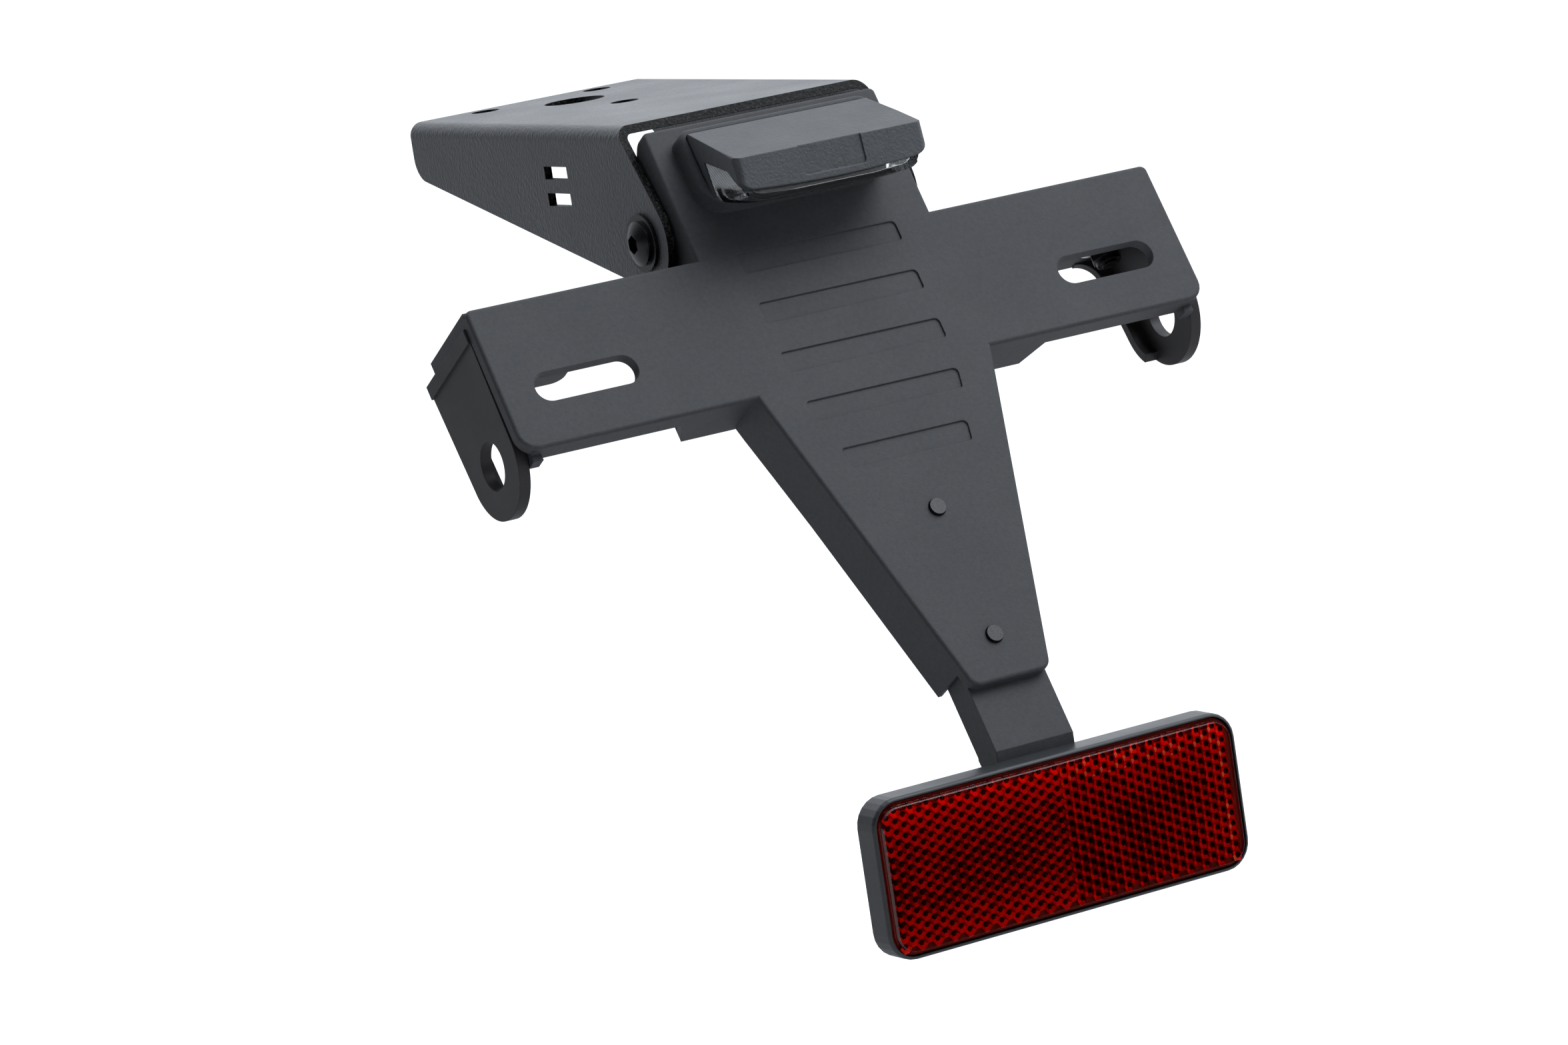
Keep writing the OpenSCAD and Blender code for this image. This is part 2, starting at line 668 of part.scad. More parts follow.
module light_leds() {
  led = 3;
  led_h = 0.8;
  color("khaki") holder_frame() board_frame() for (k = [-1, 0, 1])
    translate([k * board_l / 3 - led / 2, -led / 2, -board_t - led_h]) cube([led, led, led_h]);
}

module light_screw(s) {
  l = face_t + hood_rear + 2.4;
  color(bolt_black) holder_frame() translate([s * light_screw_spacing / 2, face_t, light_z])
    rotate([90, 0, 0]) pan_screw(3.8, l);
}

// Pan head screw, its seat at z = 0, its shank along +z
module pan_screw(d, l) {
  difference() {
    union() {
      cylinder(d = d, h = l);
      translate([0, 0, -0.6 * d]) cylinder(d = 1.9 * d, h = 0.6 * d);
    }
    translate([0, 0, -0.6 * d - eps]) cylinder(d = 0.6 * d / cos(30), h = 0.35 * d, $fn = 6);
  }
}

// Signal brackets
signal_x = arm_x + signal_out;
signal_in = signal_x - signal_t;
signal_top = -wall_t - 0.1;
signal_y0 = face_t + 0.1;
signal_c = [signal_y0 + signal_end_r + 0.8, -signal_drop];
signal_flange_t = 6.2;
signal_bolt_x = signal_in - 7.4;
signal_bolt_y = 16.5;

module signal_plate_outline() {
  front_top = [signal_y0, signal_top];
  rear_top = [signal_y0 + signal_top_l, signal_top];
  rear_mid = rear_top - [0, 2.8];
  polygon([front_top, touch(signal_c, signal_end_r, front_top, 1), signal_c,
    touch(signal_c, signal_end_r, rear_mid, -1), rear_mid, rear_top]);
  translate(signal_c) circle(signal_end_r);
}

// Outline of the lip along the rear edge, a hair inside the plate's own outline
module signal_lip_outline(t) {
  rear = signal_y0 + signal_top_l - 0.1;
  r = signal_end_r - 0.1;
  polygon(concat([[rear, signal_top], [rear, signal_top - 2.8]],
    [for (a = [-3 : -5.5 : -36]) signal_c + polar(r, a)],
    [for (a = [-36 : 5.5 : -3]) signal_c + polar(r - t, a)],
    [[rear - t, signal_top - 2.8], [rear - t, signal_top]]));
}

module signal_bracket(s) {
  band_h = 3.4;
  lip_l = 3.3;
  lip_t = 2.2;
  gusset_r = 5.5;
  flange_rear = signal_y0 + signal_top_l - 0.6;
  color(bracket_black) holder_frame() side(s) difference() {
    union() {
      along_x(signal_in, signal_t) signal_plate_outline();
      // raised band along the top edge
      translate([signal_in, signal_y0, signal_top - band_h]) cube([signal_t + 0.5, signal_top_l + 0.1, band_h]);
      // flange that lies under the arm
      translate([0, 0, signal_top - signal_flange_t]) linear_extrude(signal_flange_t) polygon(rounded(
        [[signal_in - signal_flange_l, signal_y0 + 2], [signal_in + 1, signal_y0 + 2],
         [signal_in + 1, flange_rear], [signal_in - signal_flange_l, flange_rear]],
        [3, 0.1, 0.1, 3], 0, 6));
      along_x(signal_in - lip_l, lip_l + 0.5) signal_lip_outline(lip_t);
      // curved gusset from the flange down to the lip
      translate([0, flange_rear, 0]) rotate([90, 0, 0]) linear_extrude(lip_t - 0.3) difference() {
        translate([signal_in - lip_l - gusset_r, signal_top - signal_flange_t - gusset_r])
          square([gusset_r + 1, gusset_r + 1]);
        translate([signal_in - lip_l - gusset_r, signal_top - signal_flange_t - gusset_r]) circle(gusset_r - 0.3);
      }
    }
    bar_x([signal_in - 1, signal_c.x, signal_c.y], signal_hole_d / 2, signal_t + 3);
    translate([signal_bolt_x, signal_bolt_y, signal_top - signal_flange_t - 1])
      cylinder(d = signal_bolt_d + 0.4, h = signal_flange_t + 2);
  }
}

washer_t = 1.6;
signal_stack = signal_top - signal_flange_t;
module signal_bolt(s) {
  l = arm_rise - signal_stack + washer_t + nut_h(signal_bolt_d) + 0.6;
  color(bolt_black) holder_frame() translate([s * signal_bolt_x, signal_bolt_y, arm_rise])
    rotate([180, 0, 0]) button_bolt(signal_bolt_d, l, 1.76 * signal_bolt_d);
}
module signal_washer(s) {
  color(zinc) holder_frame() translate([s * signal_bolt_x, signal_bolt_y, signal_stack - washer_t])
    flat_washer(signal_bolt_d, 3 * signal_bolt_d, washer_t);
}
module signal_nut(s) {
  color(bolt_black) holder_frame() translate([s * signal_bolt_x, signal_bolt_y, signal_stack - washer_t])
    rotate([180, 0, 0]) lock_nut(signal_bolt_d);
}

// Strap and reflector
strap_in = 53.8;
strap_z = -tail_l + strap_in;
bend_z = strap_z - strap_l;

// Frame of the reflector: y = 0 on the back of its housing, z = 0 where the strap meets it
module reflector_frame() {
  translate([0, face_t, bend_z]) rotate([strap_bend, 0, 0]) children();
}
reflector_top = -2.5;
reflector_mid = reflector_top - reflector_h / 2;
tab_l = -reflector_mid + 11;

// A point given in the reflector's frame, as y and z of the holder's frame
function bent(y, z) = [face_t + y * cos(strap_bend) - z * sin(strap_bend),
  bend_z + y * sin(strap_bend) + z * cos(strap_bend)];

// Side outlines of the strap: its plate, and its walls, which taper off below the bend
function inner_bend(t) = let (a = strap_bend) [face_t + t, bend_z + t * tan(a / 2)];
module strap_plate_outline() {
  polygon([[face_t, strap_z], [face_t, bend_z], bent(0, -tab_l), bent(strap_t, -tab_l),
    inner_bend(strap_t), [face_t + strap_t, strap_z]]);
}
module strap_wall_outline() {
  polygon([[face_t, strap_z - 3], [face_t, bend_z], bent(0, reflector_mid + 8.6),
    bent(strap_t, reflector_mid + 8.6), bent(strap_d, -3), inner_bend(strap_d),
    [face_t + strap_d, strap_z - 9]]);
}

// What the rounding takes off a lower corner of the tab behind the reflector
module tab_corner_cut(x, r) {
  c = [x - r, -tab_l + r];
  arc = [for (a = [-86 : 6 : -3]) c + polar(r, a)];
  polygon(concat([[arc[0].x, -tab_l - 1]], arc, [[x + 1, arc[len(arc) - 1].y], [x + 1, -tab_l - 1]]));
}

module reflector_strap() {
  x = strap_w / 2;
  color(plastic_black) holder_frame() difference() {
    union() {
      along_x(-x, strap_w) strap_plate_outline();
      for (x0 = [-x, x - strap_t]) along_x(x0, strap_t) strap_wall_outline();
    }
    reflector_frame() {
      bar_y([0, -1, reflector_mid], stud_d / 2 + 0.2, strap_t + 2);
      both_sides() into_y(-1, strap_t + 2) tab_corner_cut(x, 6);
    }
    for (z = screw_z) bar_y([0, face_t - 1, z], strap_screw_d / 2 + 0.1, strap_t + 2);
  }
}

module strap_screw(k) {
  color(bolt_black) holder_frame() translate([0, face_t + strap_t, screw_z[k]]) rotate([90, 0, 0])
    pan_screw(strap_screw_d, face_t + strap_t + 0.8);
}

rim_t = 0.8;
back_t = 1.6;
lens_proud = 1.1;
function reflector_pts(m) = let (x = reflector_w / 2 - m, h = reflector_h / 2 - m)
  box_pts(-x, reflector_mid - h, x, reflector_mid + h);

module reflector_housing() {
  color(coat_black) holder_frame() reflector_frame() difference() {
    round_fronted(reflector_pts(0), [1, 1, 1, 1] * reflector_r, -reflector_d, reflector_d, 0.8);
    into_y(-reflector_d - 1, reflector_d + 1 - back_t)
      polygon(rounded(reflector_pts(rim_t), [1, 1, 1, 1] * (reflector_r - rim_t), 0, 8));
    bar_y([0, -back_t - 1, reflector_mid], stud_d / 2, back_t + 2);
  }
}

module reflector_lens() {
  r = reflector_r - rim_t - 0.15;
  step = 0.9;
  color(lens_red) holder_frame() reflector_frame() difference() {
    union() {
      into_y(-reflector_d + 0.5, reflector_d - 0.5 - back_t)
        polygon(rounded(reflector_pts(rim_t + 0.15), [1, 1, 1, 1] * r, 0, 8));
      round_fronted(reflector_pts(rim_t + 0.15 + step), [1, 1, 1, 1] * (r - step + 0.6),
        -reflector_d - lens_proud, lens_proud + 1.5, 0.5);
    }
    bar_y([0, -back_t - 2.5, reflector_mid], 0.9 * stud_d + 0.2, 4);
  }
}

module reflector_stud() {
  color(zinc) holder_frame() reflector_frame() {
    bar_y([0, -back_t - 1.8, reflector_mid], 0.9 * stud_d, 1.8);
    bar_y([0, -back_t - 0.1, reflector_mid], stud_d / 2, back_t + strap_t + 1 + nut_h(stud_d) + 1.7);
  }
}
module reflector_washer() {
  color(zinc) holder_frame() reflector_frame() translate([0, strap_t, reflector_mid]) rotate([-90, 0, 0])
    flat_washer(stud_d, 2 * stud_d, 1);
}
module reflector_nut() {
  color(zinc) holder_frame() reflector_frame() translate([0, strap_t + 1, reflector_mid]) rotate([-90, 0, 0])
    lock_nut(stud_d);
}

top_bracket();
plate_holder();
pivot_bolt(-1);  // pivot_bolt_left
pivot_bolt(1);  // pivot_bolt_right
pivot_nut(-1);  // pivot_nut_left
pivot_nut(1);  // pivot_nut_right
light_base();
light_hood();
light_lens();
light_board();
light_leds();
light_screw(-1);  // light_screw_left
light_screw(1);  // light_screw_right
signal_bracket(-1);  // signal_bracket_left
signal_bracket(1);  // signal_bracket_right
signal_bolt(-1);  // signal_bolt_left
signal_bolt(1);  // signal_bolt_right
signal_washer(-1);  // signal_washer_left
signal_washer(1);  // signal_washer_right
signal_nut(-1);  // signal_nut_left
signal_nut(1);  // signal_nut_right
reflector_strap();
strap_screw(0);  // strap_screw_upper
strap_screw(1);  // strap_screw_lower
reflector_housing();
reflector_lens();
reflector_stud();
reflector_washer();
reflector_nut();
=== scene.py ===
import math
import bpy
import bmesh
from mathutils import Matrix, Vector


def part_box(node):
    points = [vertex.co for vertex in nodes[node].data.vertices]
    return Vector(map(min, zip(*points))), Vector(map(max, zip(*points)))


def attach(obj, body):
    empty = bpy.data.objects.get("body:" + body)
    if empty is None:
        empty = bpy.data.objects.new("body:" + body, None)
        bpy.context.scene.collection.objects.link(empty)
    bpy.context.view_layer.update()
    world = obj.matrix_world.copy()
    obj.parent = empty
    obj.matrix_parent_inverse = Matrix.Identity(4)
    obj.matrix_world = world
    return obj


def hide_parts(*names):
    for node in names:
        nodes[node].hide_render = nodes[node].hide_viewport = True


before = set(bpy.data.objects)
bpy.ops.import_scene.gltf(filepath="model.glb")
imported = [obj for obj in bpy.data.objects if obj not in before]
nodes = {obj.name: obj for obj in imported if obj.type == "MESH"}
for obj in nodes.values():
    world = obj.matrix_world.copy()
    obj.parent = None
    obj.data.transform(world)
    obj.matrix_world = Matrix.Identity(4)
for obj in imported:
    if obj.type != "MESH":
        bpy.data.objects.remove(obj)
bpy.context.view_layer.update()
mm = 0.001
print("frame loaded with", len(nodes), "nodes")


# Camera, solved from the straight edges in the photograph; places in millimetres
camera = {
    "place": (-682.57, -1327.397, 126.249),
    "right": (0.856925, -0.493611, -0.148422),
    "up": (0.206484, 0.064905, 0.976295),
    "lens": 139.352,
    "sensor": 36.0,
}


def makeCamera(c):
    data = bpy.data.cameras.new("camera")
    data.sensor_fit = "HORIZONTAL"
    data.sensor_width = c["sensor"]
    data.lens = c["lens"]
    data.clip_start = 0.01
    data.clip_end = 50
    ob = bpy.data.objects.new("camera", data)
    bpy.context.collection.objects.link(ob)
    right = Vector(c["right"]).normalized()
    up = Vector(c["up"])
    up = (up - right * up.dot(right)).normalized()
    turn = Matrix((right, up, right.cross(up))).transposed()
    ob.matrix_world = Matrix.Translation(Vector(c["place"]) * mm) @ turn.to_4x4()
    bpy.context.scene.camera = ob


makeCamera(camera)
bpy.context.scene.view_settings.view_transform = "Standard"


# Small helpers for shader trees
def shaderTree(name):
    mat = bpy.data.materials.new(name)
    mat.use_nodes = True
    tree = mat.node_tree
    bsdf = tree.nodes["Principled BSDF"]
    return mat, tree, bsdf


def noise(tree, coords, scale, detail=2.0, roughness=0.5):
    n = tree.nodes.new("ShaderNodeTexNoise")
    n.inputs["Scale"].default_value = scale
    n.inputs["Detail"].default_value = detail
    n.inputs["Roughness"].default_value = roughness
    tree.links.new(coords, n.inputs["Vector"])
    return n.outputs["Fac"]


def cells(tree, coords, scale, smooth=0.6):
    n = tree.nodes.new("ShaderNodeTexVoronoi")
    n.feature = "SMOOTH_F1"
    n.inputs["Scale"].default_value = scale
    n.inputs["Smoothness"].default_value = smooth
    tree.links.new(coords, n.inputs["Vector"])
    return n.outputs["Distance"]


def ramp(tree, value, stops):
    n = tree.nodes.new("ShaderNodeValToRGB")
    while len(n.color_ramp.elements) < len(stops):
        n.color_ramp.elements.new(0.5)
    for e, (at, colour) in zip(n.color_ramp.elements, stops):
        e.position = at
        e.color = (*colour, 1.0)
    tree.links.new(value, n.inputs["Fac"])
    return n.outputs["Color"]


def sums(tree, operation, a, b):
    n = tree.nodes.new("ShaderNodeMath")
    n.operation = operation
    for slot, v in zip(n.inputs, (a, b)):
        if isinstance(v, (int, float)):
            slot.default_value = v
        else:
            tree.links.new(v, slot)
    return n.outputs[0]


def rangeOf(tree, value, low, high, toLow, toHigh):
    n = tree.nodes.new("ShaderNodeMapRange")
    for slot, v in zip(("From Min", "From Max", "To Min", "To Max"), (low, high, toLow, toHigh)):
        n.inputs[slot].default_value = v
    tree.links.new(value, n.inputs["Value"])
    return n.outputs["Result"]


def bump(tree, heights, edge):
    last = None
    if edge:
        b = tree.nodes.new("ShaderNodeBevel")
        b.samples = 4
        b.inputs["Radius"].default_value = edge * mm
        last = b.outputs["Normal"]
    for height, strength, depth in heights:
        n = tree.nodes.new("ShaderNodeBump")
        n.inputs["Strength"].default_value = strength
        n.inputs["Distance"].default_value = depth * mm
        tree.links.new(height, n.inputs["Height"])
        if last:
            tree.links.new(last, n.inputs["Normal"])
        last = n.outputs["Normal"]
    return last


# Stage: a plain white floor below the lowest place that the reflector can swing to
stage = {"floorZ": -219.0, "size": 14.0, "glow": 0.62, "skyLow": 0.03, "skyHigh": 1.45,
         "skyTowards": (0.62, 0.42, 0.66), "skyFrom": -0.08, "skyTo": 0.85, "tint": (0.90, 0.945, 1.0),
         "keyPower": 8.7, "keySize": 0.9, "keyFrom": (0.42, -0.42, 0.80), "keyDistance": 1.25,
         "fillPower": 0.02, "fillSize": 0.9, "fillFrom": (-0.62, -0.75, 0.10), "fillDistance": 1.6}
middle = Vector((0.0, -0.085, -0.085))


def makeStage(s):
    mesh = bpy.data.meshes.new("floor")
    h = s["size"] / 2
    mesh.from_pydata([(-h, -h, 0), (h, -h, 0), (h, h, 0), (-h, h, 0)], [], [(0, 1, 2, 3)])
    mesh.transform(Matrix.Translation((0, 0, s["floorZ"] * mm)))
    floor = bpy.data.objects.new("floor", mesh)
    bpy.context.collection.objects.link(floor)
    mat, tree, bsdf = shaderTree("floorWhite")
    bsdf.inputs["Base Color"].default_value = (0.6, 0.6, 0.6, 1)
    bsdf.inputs["Roughness"].default_value = 0.9
    bsdf.inputs["Specular IOR Level"].default_value = 0.0
    glow = tree.nodes.new("ShaderNodeEmission")
    path = tree.nodes.new("ShaderNodeLightPath")
    both = tree.nodes.new("ShaderNodeAddShader")
    seen = sums(tree, "MAXIMUM", path.outputs["Is Camera Ray"], path.outputs["Is Transmission Ray"])
    tree.links.new(sums(tree, "MULTIPLY", seen, s["glow"]), glow.inputs["Strength"])
    tree.links.new(bsdf.outputs[0], both.inputs[0])
    tree.links.new(glow.outputs[0], both.inputs[1])
    tree.links.new(both.outputs[0], tree.nodes["Material Output"].inputs["Surface"])
    mesh.materials.append(mat)

    world = bpy.data.worlds.new("studio")
    world.use_nodes = True
    wt = world.node_tree
    back = wt.nodes["Background"]
    path = wt.nodes.new("ShaderNodeLightPath")
    seen = sums(wt, "MAXIMUM", path.outputs["Is Camera Ray"], path.outputs["Is Transmission Ray"])
    # a broad soft sky that is brighter above and behind than to the left and in front
    toward = wt.nodes.new("ShaderNodeVectorMath")
    toward.operation = "DOT_PRODUCT"
    toward.inputs[1].default_value = Vector(s["skyTowards"]).normalized()
    wt.links.new(wt.nodes.new("ShaderNodeTexCoord").outputs["Generated"], toward.inputs[0])
    sky = rangeOf(wt, toward.outputs["Value"], s["skyFrom"], s["skyTo"], s["skyLow"], s["skyHigh"])
    wt.links.new(ramp(wt, seen, [(0.0, s["tint"]), (1.0, (1.0, 1.0, 1.0))]), back.inputs["Color"])
    wt.links.new(sums(wt, "MAXIMUM", sky, seen), back.inputs["Strength"])
    bpy.context.scene.world = world

    for name, power, size, way, distance in (
            ("keyLight", s["keyPower"], s["keySize"], s["keyFrom"], s["keyDistance"]),
            ("fillLight", s["fillPower"], s["fillSize"], s["fillFrom"], s["fillDistance"])):
        data = bpy.data.lights.new(name, "AREA")
        data.shape = "SQUARE"
        data.size = size
        data.energy = power
        data.color = s["tint"]
        lamp = bpy.data.objects.new(name, data)
        bpy.context.collection.objects.link(lamp)
        way = Vector(way).normalized()
        lamp.matrix_world = (Matrix.Translation(middle + way * distance)
                             @ way.to_track_quat("Z", "Y").to_matrix().to_4x4())


makeStage(stage)
print("camera, floor and lights made")


# Moulded and painted finishes
mouldedBlack = {"dark": (0.036, 0.037, 0.041), "light": (0.054, 0.055, 0.060), "rough": 0.62,
                "specular": 0.42, "grainScale": 2200, "grain": 0.5, "grainDepth": 0.08,
                "mottleScale": 55, "edge": 0.35}
hoodBlack = {"dark": (0.032, 0.034, 0.038), "light": (0.054, 0.058, 0.065), "rough": 0.52,
             "specular": 0.75, "grainScale": 1500, "grain": 0.8, "grainDepth": 0.14,
             "mottleScale": 80, "edge": 0.4}
bracketBlack = {"dark": (0.019, 0.017, 0.019), "light": (0.028, 0.025, 0.028), "rough": 0.50,
                "specular": 0.42, "grainScale": 4200, "grain": 0.12, "grainDepth": 0.03,
                "mottleScale": 60, "edge": 0.35}
housingBlack = {"dark": (0.024, 0.026, 0.029), "light": (0.036, 0.039, 0.043), "rough": 0.40,
                "specular": 0.5, "grainScale": 3000, "grain": 0.10, "grainDepth": 0.03,
                "mottleScale": 70, "edge": 0.3}


def mouldedPlastic(name, look):
    mat, tree, bsdf = shaderTree(name)
    coords = tree.nodes.new("ShaderNodeTexCoord").outputs["Object"]
    grain = noise(tree, coords, look["grainScale"], 1.5, 0.6)
    mottle = noise(tree, coords, look["mottleScale"], 4.0, 0.55)
    speck = noise(tree, coords, look["grainScale"] * 0.45, 1.0)
    blend = sums(tree, "ADD", sums(tree, "MULTIPLY", mottle, 0.6), sums(tree, "MULTIPLY", speck, 0.4))
    tree.links.new(ramp(tree, blend, [(0.32, look["dark"]), (0.68, look["light"])]),
                   bsdf.inputs["Base Color"])
    tree.links.new(rangeOf(tree, mottle, 0.3, 0.7, look["rough"] - 0.05, look["rough"] + 0.06),
                   bsdf.inputs["Roughness"])
    bsdf.inputs["Specular IOR Level"].default_value = look["specular"]
    tree.links.new(bump(tree, [(grain, look["grain"], look["grainDepth"])], look["edge"]),
                   bsdf.inputs["Normal"])
    return mat


# Powder coat with a pebbled skin, rougher where the sheet was cut, and painted near black there as shade on
# the rear-facing cut edges
powderCoat = {"dark": (0.048, 0.051, 0.057), "light": (0.082, 0.086, 0.095), "rough": 0.46,
              "pebbleScale": 1100, "pebble": 0.9, "pebbleDepth": 0.20, "edge": 0.25,
              "cutShadeDark": (0.003, 0.003, 0.003), "cutShadeLight": (0.05, 0.05, 0.052),
              "cutScale": 1500, "cutDepth": 0.22}


def powderCoated(name, look):
    mat, tree, bsdf = shaderTree(name)
    outs = tree.nodes.new("ShaderNodeTexCoord").outputs
    coords = outs["Object"]
    stretch = tree.nodes.new("ShaderNodeVectorMath")
    stretch.operation = "MULTIPLY"
    stretch.inputs[1].default_value = (1.0, 1.5, 0.75)
    tree.links.new(coords, stretch.inputs[0])
    pebble = cells(tree, stretch.outputs[0], look["pebbleScale"], 0.8)
    fine = noise(tree, coords, look["pebbleScale"] * 2.4, 2.0)
    cloud = noise(tree, coords, 40, 4.0)
    skin = ramp(tree, sums(tree, "ADD", sums(tree, "MULTIPLY", fine, 0.7), sums(tree, "MULTIPLY", cloud, 0.3)),
                [(0.35, look["dark"]), (0.65, look["light"])])
    # the sheet's cut rear edges face back, down the slant of the cheeks; their crumbly bump is the cut's own
    # texture, and their near-black colour is painted shade
    facing = tree.nodes.new("ShaderNodeSeparateXYZ")
    tree.links.new(outs["Normal"], facing.inputs[0])
    cutAndShade = rangeOf(tree, facing.outputs["Y"], -0.35, -0.75, 0.0, 1.0)
    crumb = noise(tree, coords, look["cutScale"], 3.0, 0.7)
    # the cut edges' colour: near-black painted shade with lighter crumbs
    edge = ramp(tree, crumb, [(0.52, look["cutShadeDark"]), (0.72, look["cutShadeLight"])])
    mix = tree.nodes.new("ShaderNodeMix")
    mix.data_type = "RGBA"
    tree.links.new(cutAndShade, mix.inputs["Factor"])
    tree.links.new(skin, mix.inputs["A"])
    tree.links.new(edge, mix.inputs["B"])
    tree.links.new(mix.outputs["Result"], bsdf.inputs["Base Color"])
    rough = rangeOf(tree, cloud, 0.3, 0.7, look["rough"] - 0.06, look["rough"] + 0.06)
    tree.links.new(sums(tree, "SUBTRACT", rough, sums(tree, "MULTIPLY", cutAndShade, 0.2)), bsdf.inputs["Roughness"])
    tree.links.new(rangeOf(tree, cutAndShade, 0.0, 1.0, 0.55, 0.10), bsdf.inputs["Specular IOR Level"])
    tree.links.new(rangeOf(tree, cutAndShade, 0.0, 1.0, 0.15, 0.0), bsdf.inputs["Coat Weight"])
    bsdf.inputs["Coat Roughness"].default_value = 0.35
    heights = [(pebble, look["pebble"], look["pebbleDepth"]), (fine, 0.3, 0.04),
               (sums(tree, "MULTIPLY", crumb, cutAndShade), 1.0, look["cutDepth"])]
    tree.links.new(bump(tree, heights, look["edge"]), bsdf.inputs["Normal"])
    return mat


# Steel: black-plated screws and bright zinc
blackSteel = {"colour": (0.011, 0.011, 0.013), "metal": 0.25, "rough": 0.28, "wear": 0.12}
zincPlate = {"colour": (0.78, 0.79, 0.81), "metal": 1.0, "rough": 0.32, "wear": 0.16}


def platedSteel(name, look):
    mat, tree, bsdf = shaderTree(name)
    coords = tree.nodes.new("ShaderNodeTexCoord").outputs["Object"]
    blotch = noise(tree, coords, 420, 4.0, 0.6)
    scratch = noise(tree, coords, 2600, 3.0, 0.7)
    c = look["colour"]
    low = tuple(v * (1 - 2.2 * look["wear"]) for v in c)
    high = tuple(min(1.0, v * (1 + look["wear"])) for v in c)
    tree.links.new(ramp(tree, blotch, [(0.35, low), (0.65, high)]), bsdf.inputs["Base Color"])
    bsdf.inputs["Metallic"].default_value = look["metal"]
    tree.links.new(rangeOf(tree, scratch, 0.3, 0.7, look["rough"] - 0.08, look["rough"] + 0.10),
                   bsdf.inputs["Roughness"])
    tree.links.new(bump(tree, [(scratch, 0.12, 0.02)], 0.12), bsdf.inputs["Normal"])
    return mat


# Clear moulded lens of the light
clearLens = {"tint": (0.93, 0.95, 0.96), "ribShade": (0.55, 0.56, 0.58), "rough": 0.06,
             "ribSlant": -38, "ribs": 430, "ribDepth": 0.22, "milky": 0.1,
             "paneFrom": 0.26, "paneTo": 0.34}


def clearPlastic(name, look):
    mat, tree, bsdf = shaderTree(name)
    coords = tree.nodes.new("ShaderNodeTexCoord").outputs["Object"]
    turned = tree.nodes.new("ShaderNodeVectorRotate")
    turned.rotation_type = "X_AXIS"
    turned.inputs["Angle"].default_value = math.radians(look["ribSlant"])
    tree.links.new(coords, turned.inputs["Vector"])
    wave = tree.nodes.new("ShaderNodeTexWave")
    wave.bands_direction = "Z"
    wave.inputs["Scale"].default_value = look["ribs"]
    tree.links.new(turned.outputs[0], wave.inputs["Vector"])
    low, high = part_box("light_lens")
    height = tree.nodes.new("ShaderNodeSeparateXYZ")
    tree.links.new(coords, height.inputs[0])
    # above this height the lens is the ribbed, milky pane; below it, the clear skirt
    tall = high.z - low.z
    paneFoot, paneFull = low.z + look["paneFrom"] * tall, low.z + look["paneTo"] * tall
    upper = rangeOf(tree, height.outputs["Z"], paneFoot, paneFull, 0.0, 1.0)
    ribs = sums(tree, "MULTIPLY", wave.outputs["Fac"], upper)
    # the ribs are painted darker in stripes: painted shade along the ribs of the clear lens
    tree.links.new(ramp(tree, ribs, [(0.0, look["tint"]), (1.0, look["ribShade"])]), bsdf.inputs["Base Color"])
    bsdf.inputs["IOR"].default_value = 1.49
    tree.links.new(rangeOf(tree, upper, 0.0, 1.0, 1.0, look["milky"]), bsdf.inputs["Transmission Weight"])
    cloud = noise(tree, coords, 900)
    tree.links.new(rangeOf(tree, cloud, 0.3, 0.7, look["rough"] - 0.03, look["rough"] + 0.03),
                   bsdf.inputs["Roughness"])
    tree.links.new(bump(tree, [(ribs, 0.9, look["ribDepth"])], 0.2), bsdf.inputs["Normal"])
    return mat


# White board and yellow lamps inside the light
def boardWhite(name):
    mat, tree, bsdf = shaderTree(name)
    coords = tree.nodes.new("ShaderNodeTexCoord").outputs["Object"]
    weave = noise(tree, coords, 1800, 2.0)
    tree.links.new(ramp(tree, weave, [(0.3, (0.66, 0.70, 0.66)), (0.7, (0.80, 0.83, 0.80))]),
                   bsdf.inputs["Base Color"])
    bsdf.inputs["Roughness"].default_value = 0.35
    tree.links.new(bump(tree, [(weave, 0.15, 0.02)], 0.1), bsdf.inputs["Normal"])
    return mat


def lampYellow(name):
    mat, tree, bsdf = shaderTree(name)
    coords = tree.nodes.new("ShaderNodeTexCoord").outputs["Object"]
    cloud = noise(tree, coords, 1500, 2.0)
    tree.links.new(ramp(tree, cloud, [(0.3, (0.80, 0.62, 0.20)), (0.7, (0.92, 0.80, 0.38))]),
                   bsdf.inputs["Base Color"])
    bsdf.inputs["Roughness"].default_value = 0.3
    bsdf.inputs["Subsurface Weight"].default_value = 0.1
    bsdf.inputs["Subsurface Radius"].default_value = (0.001, 0.001, 0.0005)
    return mat


holderPlastic = mouldedPlastic("mouldedBlack", mouldedBlack)
hoodPlastic = mouldedPlastic("hoodBlack", hoodBlack)
bracketPlastic = mouldedPlastic("bracketBlack", bracketBlack)
housingPlastic = mouldedPlastic("housingBlack", housingBlack)
coated = powderCoated("powderCoat", powderCoat)
darkSteel = platedSteel("blackSteel", blackSteel)
zinc = platedSteel("zincPlate", zincPlate)
lensClear = clearPlastic("clearLens", clearLens)

finishes = {
    "top_bracket": coated, "plate_holder": holderPlastic, "reflector_strap": holderPlastic,
    "light_base": hoodPlastic, "light_hood": hoodPlastic, "light_lens": lensClear,
    "light_board": boardWhite("boardWhite"), "light_leds": lampYellow("lampYellow"),
    "signal_bracket_left": bracketPlastic, "signal_bracket_right": bracketPlastic,
    "reflector_housing": housingPlastic,
    "signal_washer_left": zinc, "signal_washer_right": zinc, "pivot_nut_left": zinc, "pivot_nut_right": zinc,
    "reflector_stud": zinc, "reflector_washer": zinc, "reflector_nut": zinc,
}
for name, ob in nodes.items():
    finish = finishes.get(name, darkSteel)
    for slot in ob.material_slots:
        slot.material = finish
print("finishes set on", len(nodes), "nodes")


